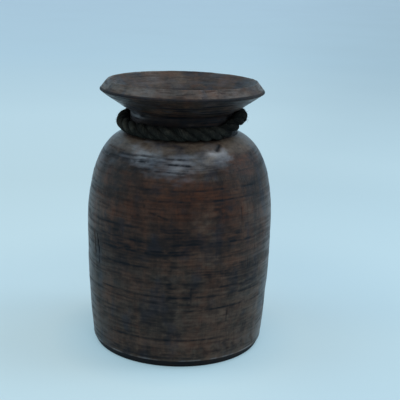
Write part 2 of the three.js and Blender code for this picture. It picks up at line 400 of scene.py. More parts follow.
def outline_stretches():
    """Each stretch has a name, how far apart its rows lie, and the points that steer its line."""
    foot = (FOOT_RADIUS, FOOT_RISE)
    belly = (BELLY_RADIUS, BELLY_HEIGHT)
    shoulder = (NECK_RADIUS + NECK_FILLET, SHOULDER_TOP)
    neck_foot = (NECK_RADIUS, SHOULDER_TOP + NECK_FILLET)
    neck_head = (NECK_RADIUS, FLARE_START - FLARE_FILLET)
    rim_side = RIM_RADIUS - RIM_ROUNDING
    flare_edge = (rim_side, RIM_UNDER)
    flare_middle = ((NECK_RADIUS + rim_side) / 2, (FLARE_START + RIM_UNDER) / 2 - FLARE_SAG)
    foot_slope = (flare_middle[1] - FLARE_START) / (flare_middle[0] - NECK_RADIUS)
    edge_slope = (RIM_UNDER - flare_middle[1]) / (rim_side - flare_middle[0])
    flare_foot = (NECK_RADIUS + FLARE_FILLET, FLARE_START + FLARE_FILLET * foot_slope)
    rim_middle = (RIM_RADIUS, RIM_UNDER + RIM_EDGE_RISE / 2)
    bevel_low = (rim_side, RIM_TOP + RIM_ROUNDING / 2)
    bevel_high = (CREST_RADIUS + CREST_ROUNDING, VASE_HEIGHT - CREST_ROUNDING)
    crest = (CREST_RADIUS, VASE_HEIGHT)
    crest_fall = (1 - CREST_SHARE) * CREST_ROUNDING
    crest_inside = (CREST_RADIUS - CREST_ROUNDING, VASE_HEIGHT - crest_fall)
    throat = NECK_RADIUS - NECK_WALL
    funnel_fall = FUNNEL_FALL_SHARE * FUNNEL_DROP
    chamber = (BELLY_RADIUS - SIDE_WALL, BELLY_HEIGHT)
    corner = FOOT_RADIUS - SIDE_WALL
    corner_top = (corner + SIDE_SWELL / 2, FLOOR + FLOOR_ROUNDING)
    floor_edge = (corner - FLOOR_ROUNDING, FLOOR)
    return [
        ("base", 3.6, (0, 0), (BASE_RADIUS, 0)),
        ("foot", 0.5, (BASE_RADIUS, 0), (BASE_RADIUS + BASE_SPREAD, 0),
         (FOOT_RADIUS - FOOT_TUCK, FOOT_LIFT), foot),
        ("side", WALL_ROW, foot, (FOOT_RADIUS + SIDE_SWELL, FOOT_RISE + SWELL_SHARE * SIDE_RISE),
         (BELLY_RADIUS, BELLY_HEIGHT - SIDE_FULLNESS), belly),
        ("side", WALL_ROW, belly, (BELLY_RADIUS, BELLY_HEIGHT + SHOULDER_LIFT),
         (shoulder[0] + SHOULDER_REACH, SHOULDER_TOP - SHOULDER_DROP), shoulder),
        ("neck", 0.9, shoulder, (NECK_RADIUS, SHOULDER_TOP + NECK_FILLET_SHARE * NECK_FILLET), neck_foot),
        ("neck", 1.1, neck_foot, neck_head),
        ("neck", 0.6, neck_head, (NECK_RADIUS, FLARE_START), flare_foot),
        ("flare", 0.8, flare_foot, flare_middle, flare_edge),
        ("rim", 0.4, flare_edge, (RIM_RADIUS, RIM_UNDER + RIM_ROUNDING * edge_slope), rim_middle),
        ("rim", 0.4, rim_middle, (RIM_RADIUS, RIM_TOP - RIM_ROUNDING / 2), bevel_low),
        ("bevel", 0.6, bevel_low, bevel_high),
        ("bevel", 0.4, bevel_high, (CREST_RADIUS + CREST_SHARE * CREST_ROUNDING, VASE_HEIGHT), crest),
        ("bevel", 0.4, crest, (CREST_RADIUS - crest_fall, VASE_HEIGHT), crest_inside),
        ("funnel", 0.8, crest_inside,
         (CREST_RADIUS - FUNNEL_SHARE * FUNNEL_DROP, VASE_HEIGHT - funnel_fall),
         (throat, THROAT_TOP + funnel_fall), (throat, THROAT_TOP)),
        ("throat", 1.6, (throat, THROAT_TOP), (throat, THROAT_BOTTOM)),
        ("hollow", 3.6, (throat, THROAT_BOTTOM), (throat, THROAT_BOTTOM - CEILING_DROP),
         (chamber[0], THROAT_BOTTOM - CEILING_SHARE * CEILING_DROP), chamber),
        ("hollow", 5.2, chamber, corner_top),
        ("hollow", 2.2, corner_top, (corner, FLOOR + FLOOR_FALL_SHARE * FLOOR_ROUNDING),
         (corner - FLOOR_SHARE * FLOOR_ROUNDING, FLOOR), floor_edge),
        ("hollow", 4.4, floor_edge, (0, FLOOR)),
    ]


# Marks on the wall, read as angle and height. The front is at 270 degrees, the left at 180.
# Each turned line has its height, where it starts and stops, and how deep and dark it is.
TURNED_LINES = [
    (205, 218, 256, 0.9), (204.3, 257, 277, 0.9), (200, 234, 251, 1.1), (199.7, 259, 280, 1.1),
    (198.2, 233, 258, 0.6), (193.8, 233, 253, 1), (193.4, 252, 277, 0.8), (192.2, 236, 247, 0.4),
    (205, 322, 343, 0.6), (199, 322, 341, 0.5), (193, 329, 346, 0.5), (198, 289, 317, 0.3),
    (177.6, 239, 301, 0.9), (177.5, 311, 326, 1), (175, 297, 311, 0.5), (173.6, 247, 262, 0.4),
    (167.6, 246, 276, 0.9), (167.4, 289, 328, 0.9), (171, 214, 227, 0.5), (166.5, 215, 228, 0.5),
    (163, 214, 226, 0.4), (155, 212, 225, 0.6), (155.7, 269, 278, 0.8), (140, 209, 246, 0.8),
    (134.3, 227, 252, 0.6), (128, 216, 253, 1), (134.6, 283, 300, 0.6), (126.6, 264, 335, 1),
    (123.6, 262, 301, 0.5), (120.2, 218, 290, 0.7), (117, 218, 284, 1), (116.8, 289, 301, 0.6),
    (111.3, 224, 251, 0.6), (108.3, 229, 251, 0.5), (102.6, 217, 255, 1), (98.8, 274, 306, 0.8),
    (96, 280, 331, 0.6), (93.6, 281, 330, 0.5), (91.4, 222, 233, 0.5), (90, 299, 331, 0.6),
    (87.7, 241, 288, 0.8), (88, 223, 236, 0.6), (83.2, 262, 291, 0.6), (83, 294, 332, 1),
    (79.5, 246, 263, 0.6), (78.8, 294, 311, 0.5), (76, 314, 333, 0.7), (74.4, 218, 333, 0.9),
    (67.5, 223, 286, 0.8), (63, 276, 291, 0.5), (61.3, 273, 336, 0.9), (58.5, 238, 251, 0.5),
    (51, 214, 241, 0.7), (41.6, 229, 281, 0.5), (39.4, 265, 281, 0.5), (36.8, 261, 283, 0.5),
    (34.6, 263, 283, 0.4), (29.6, 227, 304, 0.8), (34, 327, 346, 0.5), (30.5, 330, 344, 0.5),
    (10.4, 221, 291, 0.7), (12.4, 300, 332, 0.5),
]

# Blackened patches: angle, height, half width in degrees, half height in mm, strength
BLACK_PATCHES = [
    (246, 176, 4, 4, 0.8), (322, 178.5, 5, 3, 0.48), (296, 172, 2.5, 5, 0.6), (294.5, 156, 3, 5, 0.9),
    (247, 148, 3, 6, 0.8), (228, 136, 6, 9, 0.8), (240, 128, 14, 3, 0.48), (271, 135, 10, 9, 1),
    (300, 127, 34, 3.5, 0.54), (308, 136, 6, 7, 0.8), (233, 118, 16, 3.5, 0.48), (262, 117, 20, 2.5, 0.48),
    (237, 110, 13, 3.5, 0.3), (236, 102.5, 18, 2.5, 0.48), (318, 102, 15, 6, 0.7), (290, 97.5, 14, 3, 0.42),
    (318, 95, 14, 3, 0.3), (314, 83, 18, 3.5, 0.48), (280, 84, 4, 9, 0.5), (323, 76.5, 9, 3, 0.48),
    (278, 67, 6, 3, 0.36), (294, 61.5, 12, 2.5, 0.36), (246, 57, 10, 5, 0.5), (222, 53, 9, 9, 0.5),
    (253, 50, 6, 5, 0.7), (265.5, 89, 2.6, 46, 0.9), (266.5, 84, 3, 20, 0.5), (270, 133, 10, 8, 0.4),
    (235, 32, 6, 3.5, 0.54), (253.5, 32, 4.5, 3.5, 0.54), (268, 33, 4, 4, 0.8), (318, 34, 10, 6, 0.5),
    (234, 14, 7, 5, 0.8), (252, 13, 8, 4, 0.7), (283, 14, 14, 4, 0.5), (309, 16, 12, 4, 0.5),
    (212, 117, 6, 14, 0.5), (330, 135, 5, 8, 0.6), (207, 81, 6, 18, 0.4), (318, 182, 20, 20, 0.5),
    (275, 166, 34, 15, 0.34), (262, 50, 5, 13, 0.8), (276, 78, 6, 14, 0.4), (250, 64, 14, 7, 0.4),
    (308, 92, 20, 12, 0.35), (236, 128, 22, 14, 0.35), (319, 207, 4, 1.6, 0.7), (331, 197, 5, 2.5, 0.5),
    (317, 196, 13, 9, 0.22), (232, 139.5, 20, 2, 0.5), (236, 128, 20, 2, 0.6), (230, 123.5, 14, 1.4, 0.35),
    (250, 118.5, 34, 2.2, 0.6), (237, 111, 16, 1.6, 0.45), (238, 103, 20, 2, 0.5), (240, 97, 18, 1.6, 0.3),
    (236, 90.5, 14, 1.6, 0.3), (304, 117, 14, 1.8, 0.35), (303, 90, 18, 1.8, 0.35),
    (300, 75, 32, 1.8, 0.35), (303, 61.5, 30, 1.8, 0.35),
]
RED_PATCHES = [
    (283, 171, 15, 14, 1), (262, 161, 16, 14, 0.7), (237, 154, 10, 10, 0.5), (300, 154, 16, 16, 0.6),
    (270, 185, 16, 6, 0.5), (318, 189, 9, 5, 0.5), (278, 107, 5, 7, 0.5), (288, 109, 5, 8, 0.5),
    (295, 55, 6, 16, 0.5), (278, 24, 6, 8, 0.6), (306, 27, 6, 6, 0.5), (258, 110, 5, 7, 0.3),
    (258, 22, 9, 7, 0.45), (241, 23, 8, 7, 0.4), (235, 94, 8, 8, 0.35), (293, 86, 7, 14, 0.55),
    (226, 20, 8, 7, 0.5), (296, 40, 7, 14, 0.5), (247, 84, 9, 8, 0.35), (226, 66, 9, 8, 0.35),
    (312, 60, 9, 9, 0.35), (318, 199, 12, 8, 0.7), (282, 124, 8, 8, 0.4), (236, 120, 12, 8, 0.3),
    (304, 108, 7, 9, 0.4),
]
PALE_PATCHES = [
    (287, 146, 4, 16, 0.3), (316, 153, 4, 11, 0.25), (287, 111, 5, 8, 0.4), (295, 57, 5, 16, 0.45),
    (259, 63, 4, 14, 0.3), (269.5, 55, 1.6, 7, 0.5), (222, 34, 9, 12, 0.35), (233, 86, 7, 8, 0.25),
    (317, 65, 16, 4, 0.3), (314, 51, 13, 9, 0.25), (277, 25, 5, 7, 0.4), (305, 26, 6, 6, 0.35),
    # This last patch is a painted highlight between two gleams
    (285, 203, 9, 10, 0.95),
]
# Glossy patches at the shoulder's gleams; through the polish mark they also paint a pale highlight
GLOSS_AND_HIGHLIGHT_PATCHES = [
    (245, 203, 14, 11, 1), (269, 198, 10, 9, 1.05), (300.8, 205, 10, 11, 1), (221, 202, 8, 8, 0.25),
    (270, 188, 12, 8, 0.25), (284.5, 201, 8, 10, 0.42),
]

# Places on the neck, the flare, the funnel and the shoulder, with the same values as a patch
FLARE_PALE = [(296, 247, 15, 6, 0.6), (250, 246, 20, 4, 0.25)]
FUNNEL_PALE = [(93, 260, 8, 5, 1), (120, 256, 12, 5, 0.4)]
NECK_LIT = [(207, 236, 22, 18, 1)]
NECK_PAINTED_HIGHLIGHT = (281, 232.3, 8, 0.9)
DULL_SHOULDER = (319, 191, 24, 24)
RIM_EDGE = (258.2, 259.4)

# Marks that slant: start angle and height, stop angle and height, half width and depth in mm, darkness
SLANTED_MARKS = [
    (298.6, 209.8, 306.8, 215.2, 1.95, 0.45, 1), (212.6, 124, 215.6, 103, 0.55, 0.9, 1),
    (215.6, 103, 214.6, 93, 0.5, 0.6, 0.8), (208.4, 125, 210.6, 101, 0.5, 0.6, 0.8),
    (252.6, 156.4, 258, 154.4, 0.7, 0.35, 0.8), (258, 154.4, 265, 150, 0.7, 0.35, 0.9),
    (276.4, 179, 278.8, 167, 0.6, 0.35, 0.6), (278.6, 178, 280.2, 168, 0.5, 0.3, 0.5),
    (249.4, 165, 250.6, 158, 0.5, 0.3, 0.7), (311, 160, 311.4, 140, 0.6, 0.35, 0.6),
    (302.6, 59, 302.2, 45, 0.5, 0.35, 0.7), (279.4, 86, 279, 68, 0.6, 0.3, 0.6),
    (285, 23.4, 291.8, 12, 2.1, 0.5, 0.42), (293.6, 22, 299.4, 13, 1.5, 0.4, 0.3),
    (300.6, 24.4, 306.2, 14.6, 1.8, 0.45, 0.36), (307.6, 22, 313.6, 12, 1.8, 0.45, 0.36),
    (316, 21, 321, 12.4, 1.5, 0.4, 0.26), (326, 21, 332, 11, 1.8, 0.45, 0.36),
    (272, 21.6, 275.6, 14, 1.6, 0.4, 0.24), (235, 25, 238.6, 17.4, 1.4, 0.35, 0.22),
]

# Where fine turned lines gather: angles, heights, how many and how dark
FINE_LINES = [
    (225, 345, 113, 142, 34, 0.6), (212, 256, 98, 125, 18, 0.55), (285, 342, 72, 106, 34, 0.55),
    (225, 290, 24, 48, 22, 0.5), (285, 335, 26, 50, 16, 0.4), (236, 330, 160, 182, 20, 0.5),
    (225, 290, 58, 92, 20, 0.45), (230, 345, 190, 206, 14, 0.5), (0, 360, 8, 208, 320, 0.4),
]

# The hidden side's marks of the same kinds: how many, and the ranges that their values come from
HIDDEN_LINES = (64, (-16, 190), (10, 205), (14, 90), (0.35, 1))
HIDDEN_BLACK = (40, (-12, 202), (12, 188), (4, 18), (2.5, 9), (0.4, 0.95))
HIDDEN_RED = (16, (-10, 200), (20, 190), (5, 16), (6, 15), (0.2, 0.7))
HIDDEN_PALE = (18, (-10, 200), (15, 190), (3, 9), (6, 18), (0.2, 0.45))

# Columns of the mesh: from, to and step in degrees
COLUMN_RUNS = [(196, 346, 1), (-14, 196, 1.5), (207, 217.5, 0.34), (298, 308, 0.5), (283, 334, 0.8)]
LEAST_COLUMN = 0.24
OUTLINE_REACH = 900
ROPE_ZONE = (212.5, 243)
WOOD_SEED = 2906


def vase_columns():
    """Angles of the mesh's columns, closer together at the front and where the wood is cut across them."""
    runs = [np.arange(*run) % 360 for run in COLUMN_RUNS]
    angles = np.unique(np.round(np.concatenate(runs), 3))
    return angles[np.concatenate([[True], np.diff(angles) > LEAST_COLUMN])]


class Mottle:
    """Smooth random patches round and up the vase, about 0 with a spread of 1, that close on themselves."""

    def __init__(self, random, across, up, layers=3):
        self.layers = []
        for layer in range(layers):
            columns = max(3, round(360 / across * 2 ** layer))
            rows = round(OUTLINE_REACH / up * 2 ** layer) + 2
            self.layers.append((random.normal(0, 1, (rows, columns)), 0.6 ** layer))
        self.spread = 0.64 * math.sqrt(sum(weight ** 2 for _, weight in self.layers))

    def __call__(self, degrees, along):
        total = 0
        for grid, weight in self.layers:
            rows, columns = grid.shape
            column = degrees % 360 / 360 * columns
            row = np.clip(along / OUTLINE_REACH, 0, 1) * (rows - 2)
            left, below = np.floor(column).astype(int), np.floor(row).astype(int)
            across, up = ease(column - left, 0, 1), ease(row - below, 0, 1)
            low, high = (grid[row, left % columns] * (1 - across) + grid[row, (left + 1) % columns] * across
                         for row in (below, below + 1))
            total = total + weight * (low * (1 - up) + high * up)
        return total / self.spread


def angle_between(angles, centre):
    """Signed degrees from the centre, the short way round."""
    return (angles - centre + 180) % 360 - 180


class Skin:
    """The vase's surface laid out flat: rows follow its outline, and columns go round it.

    A mark is a value from 0 to 1 at each crossing, and cut is how deep the wood is cut away there.
    """

    def __init__(self, random):
        rows, names = [], []
        for name, spacing, *steering in outline_stretches():
            points = spaced(curve(*steering), spacing)
            first = 1 if rows else 0
            rows.extend(points[first:])
            names.extend([name] * (len(points) - first))
        rows = np.array(rows)
        self.names = np.array(names)
        self.radius, self.height = rows[:, 0:1], rows[:, 1:2]
        self.along = length_along(rows)[:, None]
        ahead = unit(np.gradient(rows, axis=0))
        self.outward = np.stack([ahead[:, 1], -ahead[:, 0]], 1)
        self.degrees = vase_columns()[None, :]
        self.rightward = np.cos(np.radians(self.degrees))
        self.size = (len(rows), self.degrees.size)
        self.random = random
        self.side = self.zone("side")
        self.marks = {name: np.zeros(self.size) for name in MARKS}
        self.cut = np.zeros(self.size)
        self.sway = 0.45 * self.mottle(26, 30, 2)
        self.wear = np.clip(0.8 + 0.3 * self.mottle(4, 2.5), 0.15, 1.15)
        self.drift = 2.4 * self.mottle(9, 6)
        self.lift = 1.7 * self.mottle(12, 8)
        self.flecks = 0.6 * self.mottle(6, 1.9) + 0.5 * self.mottle(2.6, 5)

    def mottle(self, across, up, layers=3):
        return Mottle(self.random, across, up, layers)(self.degrees, self.along)

    def zone(self, *names):
        return np.isin(self.names, names)[:, None].astype(float)

    def on_side(self, values, height):
        """What a value of the outline is on the side at this height."""
        rows = self.names == "side"
        return float(np.interp(height, self.height[rows, 0], values[rows, 0]))

    def rows_near(self, along, reach):
        first, last = np.searchsorted(self.along[:, 0], [along - reach, along + reach])
        return slice(first, last)

    def score(self, rows, off, dark, dark_width, depth, cut_width):
        """Darkens and cuts the wood along a line that lies this far off."""
        lines = self.marks["turned_lines"]
        dark = np.minimum(dark * np.exp(-(off / dark_width) ** 2), 1)
        lines[rows] = np.maximum(lines[rows], dark * self.side[rows])
        depth = depth * np.exp(-(off / cut_width) ** 2)
        self.cut[rows] = np.maximum(self.cut[rows], depth * self.side[rows])

    def turned_line(self, height, start, stop, weight, width, depth):
        """A line that a tool cut as the log turned."""
        at = self.on_side(self.along, height)
        rows = self.rows_near(at, 4)
        off = self.along[rows] - at + self.sway[rows]
        inside = (stop - start) / 2 - np.abs(angle_between(self.degrees, (start + stop) / 2))
        share = ease(inside, -1, 4) * self.wear[rows]
        self.score(rows, off, weight * share, width, depth * share, 0.75 * width)

    def slanted_mark(self, start, start_height, stop, stop_height, width, depth, dark):
        """A crack, nick or chisel stroke from one place on the side to another."""
        low, high = self.on_side(self.along, start_height), self.on_side(self.along, stop_height)
        middle, at = (start + stop) / 2, (low + high) / 2
        radius = self.on_side(self.radius, (start_height + stop_height) / 2)
        rows = self.rows_near(at, abs(high - low) / 2 + 5)
        across = np.radians(angle_between(self.degrees, middle)) * radius
        up = self.along[rows] - at
        run_across, run_up = math.radians(stop - start) * radius, high - low
        length = math.hypot(run_across, run_up)
        run = (across * run_across + up * run_up) / length
        off = (across * run_up - up * run_across) / length
        ends = ease(length / 2 - np.abs(run), -0.4, 2.2)
        self.score(rows, off, dark * ends, 1.25 * width, depth * ends, width)

    def patches(self, table):
        """Soft patches with uneven edges. Where two meet they add up."""
        bare = np.ones(self.size)
        for centre, height, half_width, half_height, strength in table:
            across = (angle_between(self.degrees, centre) + self.drift) / half_width
            up = (self.height - height + self.lift) / half_height
            bare = bare * (1 - strength * np.exp(-0.8 * (across ** 2 + up ** 2)))
        return 1 - bare

    def spot(self, centre, height, half_width, half_height):
        across = angle_between(self.degrees, centre) / half_width
        return np.exp(-across ** 2 - ((self.height - height) / half_height) ** 2)

    def paint(self, mark, field, *names):
        self.marks[mark] = np.maximum(self.marks[mark], np.clip(field, 0, 1) * self.zone(*names))


def scattered(random, count, *ranges):
    return [tuple(random.uniform(*each) for each in ranges) for _ in range(count)]


def mark_side(skin):
    """Everything that shows on the side, from the foot's edge to the rope."""
    random = skin.random
    lines = [(height, start, start + length, weight)
             for start, height, length, weight in scattered(random, *HIDDEN_LINES)]
    black, red, pale = (scattered(random, *kind) for kind in (HIDDEN_BLACK, HIDDEN_RED, HIDDEN_PALE))
    for height, start, stop, weight in TURNED_LINES + lines:
        skin.turned_line(height, start, stop, 0.86 * weight, 0.7 + 0.5 * weight, 0.06 + 0.24 * weight)
    for start, stop, low, high, count, weight in FINE_LINES:
        for _ in range(count):
            begin = random.uniform(start - 10, stop - 6)
            length = random.uniform(18, 85)
            share = weight * random.uniform(0.25, 0.85)
            skin.turned_line(random.uniform(low, high), begin, begin + length, share,
                             random.uniform(0.5, 1.1), 0.2 * share)
    for mark in SLANTED_MARKS:
        skin.slanted_mark(*mark)

    broken = np.clip(1 + 0.28 * skin.flecks, 0, 1.5)
    worn = np.clip(1 - 0.25 * skin.flecks, 0, 1.4)
    skin.paint("blackening_and_shade", skin.patches(BLACK_PATCHES + black) * broken, "side")
    # Painted light: just below the rope the wood is made paler and less blackened, most at the front
    painted_light_below_rope = ease(skin.height, 202, 213) * (0.7 - 0.3 * np.sin(np.radians(skin.degrees)))
    overall = ease(skin.mottle(15, 9) + 0.5 * skin.flecks, 0.1, 2.2)
    skin.paint("blackening_and_shade", 0.38 * overall, "side")
    skin.marks["blackening_and_shade"] *= 1 - 0.8 * painted_light_below_rope
    skin.paint("paleness_and_light", 0.75 * painted_light_below_rope * worn, "side")
    skin.paint("redness", skin.patches(RED_PATCHES + red) * worn, "side")
    thin = np.clip(1 - 0.3 * skin.flecks, 0, 1.5)
    skin.paint("paleness_and_light", skin.patches(PALE_PATCHES + pale) * thin, "side")

    # Painted light: the lower wall is made paler towards the right
    low_right = ease(-skin.height, -140, -60) * (0.6 + 0.4 * np.cos(np.radians(skin.degrees - 320)))
    skin.paint("paleness_and_light", 0.3 * low_right * np.clip(1 - 0.4 * skin.flecks, 0, 1.5), "side")

    gleam = skin.patches(GLOSS_AND_HIGHLIGHT_PATCHES) * np.clip(1.05 + 0.16 * skin.mottle(5, 4), 0, 1.3)
    shoulder = ease(skin.height, 172, 205)
    sheen = 0.165 + 0.32 * skin.rightward ** 8 + shoulder * (0.04 + 0.06 * skin.mottle(8, 6))
    sheen *= 1 - 0.95 * skin.spot(*DULL_SHOULDER)
    skin.paint("polish_and_highlight", np.maximum(gleam, sheen), "side", "foot")

    # A pale, glossy line along the foot's edge: wear on the arris, with a painted highlight
    above_edge = skin.height - FOOT_RISE
    skin.paint("paleness_and_light", 0.8 * np.exp(-((above_edge - 0.9) / 0.9) ** 2) * skin.wear, "side")
    skin.paint("polish_and_highlight", 0.7 * np.exp(-((above_edge - 0.9) / 1.2) ** 2) * skin.wear, "side")
    # Painted shade: the foot's undercut is darkened almost to black
    skin.paint("blackening_and_shade", 0.9, "foot")
    skin.paint("hollow", 0.6, "foot")


def mark_neck_and_rim(skin):
    """The neck and flare darkened with painted shade, the paler bevel with painted light to its left, and
    the funnel with its turned rings.
    """
    rings = skin.mottle(30, 1.1, 2)
    short_rings = skin.mottle(9, 1.3, 2)
    blotches = skin.mottle(10, 5)
    sideways = skin.rightward ** 2
    # Painted shade: the flare's underside and the neck below it are darkened, the flare less so at its
    # sides, where its gloss is raised instead
    skin.paint("blackening_and_shade", 0.68 - 0.2 * sideways + 0.16 * rings + 0.1 * blotches, "flare")
    skin.paint("blackening_and_shade", 0.85 + 0.15 * rings, "neck")
    skin.paint("hollow", 0.35, "neck")
    skin.paint("turned_lines", ease(rings + 0.6 * short_rings, 0.7, 2.2) * 0.8, "neck", "flare")
    skin.paint("paleness_and_light", ease(short_rings + rings, 0.6, 2.6) * 0.4, "flare")
    skin.paint("paleness_and_light", skin.patches(FLARE_PALE) * np.clip(0.8 + 0.4 * rings, 0, 1), "flare")
    skin.paint("polish_and_highlight", np.clip(0.16 + 0.26 * sideways + 0.1 * blotches, 0, 0.6), "neck", "flare")
    sky_lit = skin.patches(NECK_LIT)
    skin.marks["blackening_and_shade"] *= 1 - 0.8 * sky_lit * skin.zone("neck")
    skin.paint("paleness_and_light", 0.7 * sky_lit, "neck")
    skin.paint("polish_and_highlight", sky_lit, "neck", "flare")
    # Painted highlight: a pale glossy streak on the front of the neck
    skin.paint("paleness_and_light", 0.9 * skin.spot(*NECK_PAINTED_HIGHLIGHT), "neck")
    skin.paint("polish_and_highlight", 0.6 * skin.spot(*NECK_PAINTED_HIGHLIGHT), "neck")

    speckle = skin.mottle(3.2, 1.6)
    # The bevel is paler; its extra paleness towards the left is painted light
    leftward = np.maximum(-skin.rightward, 0)
    skin.paint("paleness_and_light", 0.27 + 0.38 * leftward + 0.08 * blotches + 0.03 * speckle, "bevel")
    skin.paint("redness", np.clip(0.03 - 0.12 * blotches, 0, 0.2), "bevel")
    skin.paint("blackening_and_shade", ease(speckle - 0.6 * blotches, 0.3, 3) * 0.3, "bevel")
    skin.paint("turned_lines", ease(short_rings, 0.6, 2.2) * 0.4, "bevel", "rim")
    skin.paint("turned_lines", ease(skin.height, *RIM_EDGE) * np.clip(0.75 + 0.15 * blotches, 0, 1), "rim")
    skin.paint("polish_and_highlight", 0.3 + 0.02 * speckle + 0.05 * blotches, "bevel")

    skin.paint("turned_lines", ease(rings + 0.5 * short_rings, 0.6, 2.8) * 0.35, "funnel")
    skin.paint("blackening_and_shade", 0.42 + 0.1 * blotches + 0.05 * speckle, "funnel")
    dust = np.clip(0.13 + 0.08 * speckle, 0, 0.5)
    skin.paint("paleness_and_light", 0.6 * skin.patches(FUNNEL_PALE) + dust, "funnel")
    skin.paint("polish_and_highlight", 0.3 + 0.08 * blotches, "funnel")

    # Painted shade: the inside is darkened, and the funnel more the deeper it goes
    depth = skin.zone("throat", "hollow") + skin.zone("funnel") * ease(-skin.radius, -62, -40) * 0.8
    skin.paint("hollow", depth, "throat", "hollow", "funnel")
    skin.paint("hollow", 0.25, "base")


def carve(skin):
    """Hand-turned unevenness. The neck stays round, because the rope turns about it."""
    uneven = skin.mottle(40, 34, 2)
    dents = skin.mottle(9, 11)
    round_low = ease(skin.height, ROPE_ZONE[0] - 10, ROPE_ZONE[0])
    round_high = ease(-skin.height, -ROPE_ZONE[1] - 6, -ROPE_ZONE[1])
    loose = 1 - round_low * round_high
    above_foot = ease(skin.height, FOOT_RISE, FOOT_RISE + 3)
    sunk = 0.24 * np.clip(1 + uneven, 0, 2.4) + 0.06 * np.clip(1 + dents, 0, 2.4)
    cut = skin.cut + sunk * skin.zone("side", "flare") * loose * above_foot

    def rings(depth, spacing, shift):
        return depth * (1 + np.cos(TURN * skin.along / spacing + shift))

    cut = cut + skin.zone("funnel", "throat") * rings(0.05, 4.6, 2 * np.sin(skin.along / 9))
    cut = cut + skin.zone("neck", "flare") * rings(0.06, 3.7, 1.6 * np.sin(skin.along / 5))
    cut = cut + skin.zone("hollow") * (rings(0.25, 11, 1.4 * dents) + 0.3 * np.clip(1 + uneven, 0, 2))
    nicks = 0.12 * np.clip(1 + uneven, 0, 2) + 0.1 * np.clip(1 + dents, 0, 2)
    cut = cut + skin.zone("rim", "bevel") * nicks
    return cut * (1 - skin.zone("base")) * ease(skin.radius, 2, 12)


def vase_wood():
    skin = Skin(np.random.default_rng(WOOD_SEED))
    mark_side(skin)
    mark_neck_and_rim(skin)
    cut = carve(skin)

    turn = np.radians(skin.degrees)
    radius = skin.radius - cut * skin.outward[:, 0:1]
    height = np.maximum(skin.height - cut * skin.outward[:, 1:2], 0)
    points = np.stack([radius * np.cos(turn), radius * np.sin(turn), height], -1)

    # The first and last rows are single points on the axis
    rows, columns = skin.size
    all_points = np.concatenate([[[0, 0, 0]], points[1:-1].reshape(-1, 3), [[0, 0, FLOOR]]])
    grid = 1 + np.arange((rows - 2) * columns).reshape(-1, columns)
    first, last = grid[[0, -1]].tolist()
    faces = wrapped_faces(grid)
    faces += [(0, after, before) for before, after in zip(first, first[1:] + first[:1])]
    faces += [(len(all_points) - 1, before, after) for before, after in zip(last, last[1:] + last[:1])]
    marks = {mark: np.concatenate([[field[0, 0]], field[1:-1].ravel(), [field[-1, 0]]])
             for mark, field in skin.marks.items()}
    piece = make_piece("vase_wood", all_points, faces, dark_wood(), "vessel", marks)
    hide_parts("vase_body")


# The rope's route, as its solid has it. Millimetres; angles turn from +X.

ROPE_DIAMETER = 13.6
ROPE_RADIUS = ROPE_DIAMETER / 2
TWINE_DIAMETER = 2
TWINE_TURNS = 7
SEAT_GAP = 0.3
BINDING_GAP = 0.35
LAID_GAP = 0.5
COLLAR_RADIUS = NECK_RADIUS + ROPE_RADIUS + SEAT_GAP
COLLAR_LOW = 224.82
COLLAR_HIGH = 234.88
COLLAR_FROM = 135
COLLAR_TO = 380
LEFT_CLIMB = (140, 240)
LEFT_SHARE = 0.52
RIGHT_CLIMB = (308, 346)
SHORT_LEAD = 9
LONG_LEAD = 26
INNER_CROSSING = np.array([0, COLLAR_RADIUS + BINDING_GAP + TWINE_DIAMETER, 233.46])
TIE_SLOPE = math.radians(36)
TIE_SPACING = ROPE_DIAMETER + LAID_GAP
OUTER_CROSSING = INNER_CROSSING + TIE_SPACING * np.array([0, math.cos(TIE_SLOPE), -math.sin(TIE_SLOPE)])
TWINE_PITCH = TWINE_DIAMETER + LAID_GAP
TIE_HALF_LENGTH = (TWINE_TURNS * TWINE_PITCH + TWINE_DIAMETER) / 2
STRAIGHT_HALF_LENGTH = TIE_HALF_LENGTH + ROPE_DIAMETER
WINDING_RADIUS = ROPE_RADIUS + BINDING_GAP + TWINE_DIAMETER / 2

# How finely the rope and twine are drawn, and the rope's stray fibres
ROUTE_SAMPLES = 700
ROPE_STEP = 0.8
TWINE_SAMPLES = 1500
TWINE_STEP = 0.45
YARN_PITCH_SHARE = 0.8
TAPER_LENGTH = 2.2
FIBRE_SEED = 77
FIBRE_TRIES = 3200
TUFT_FIBRES = 60
FIBRE_RINGS = 5
FIBRE_SIDES = 3


def collar_run():
    degrees = np.linspace(COLLAR_FROM, COLLAR_TO, ROUTE_SAMPLES)
    climb = LEFT_SHARE * (1 - ease(degrees, *LEFT_CLIMB)) + ease(degrees, *RIGHT_CLIMB)
    heights = COLLAR_LOW + (COLLAR_HIGH - COLLAR_LOW) * climb
    turn = np.radians(degrees)
    return np.stack([COLLAR_RADIUS * np.cos(turn), COLLAR_RADIUS * np.sin(turn), heights], 1)


def rope_route():
    right = np.array([1, 0, 0])
    run = collar_run()
    lead_out = SHORT_LEAD * unit(run[1] - run[0])
    lead_in = LONG_LEAD * unit(run[-1] - run[-2])
    inner_leave = INNER_CROSSING - TIE_HALF_LENGTH * right
    outer_arrive = OUTER_CROSSING + STRAIGHT_HALF_LENGTH * right
    return np.concatenate([
        curve(INNER_CROSSING + STRAIGHT_HALF_LENGTH * right, inner_leave),
        curve(inner_leave, inner_leave - SHORT_LEAD * right, run[0] - lead_out, run[0])[1:],
        run[1:],
        curve(run[-1], run[-1] + lead_in, outer_arrive + LONG_LEAD * right, outer_arrive)[1:],
        [OUTER_CROSSING - STRAIGHT_HALF_LENGTH * right],
    ])


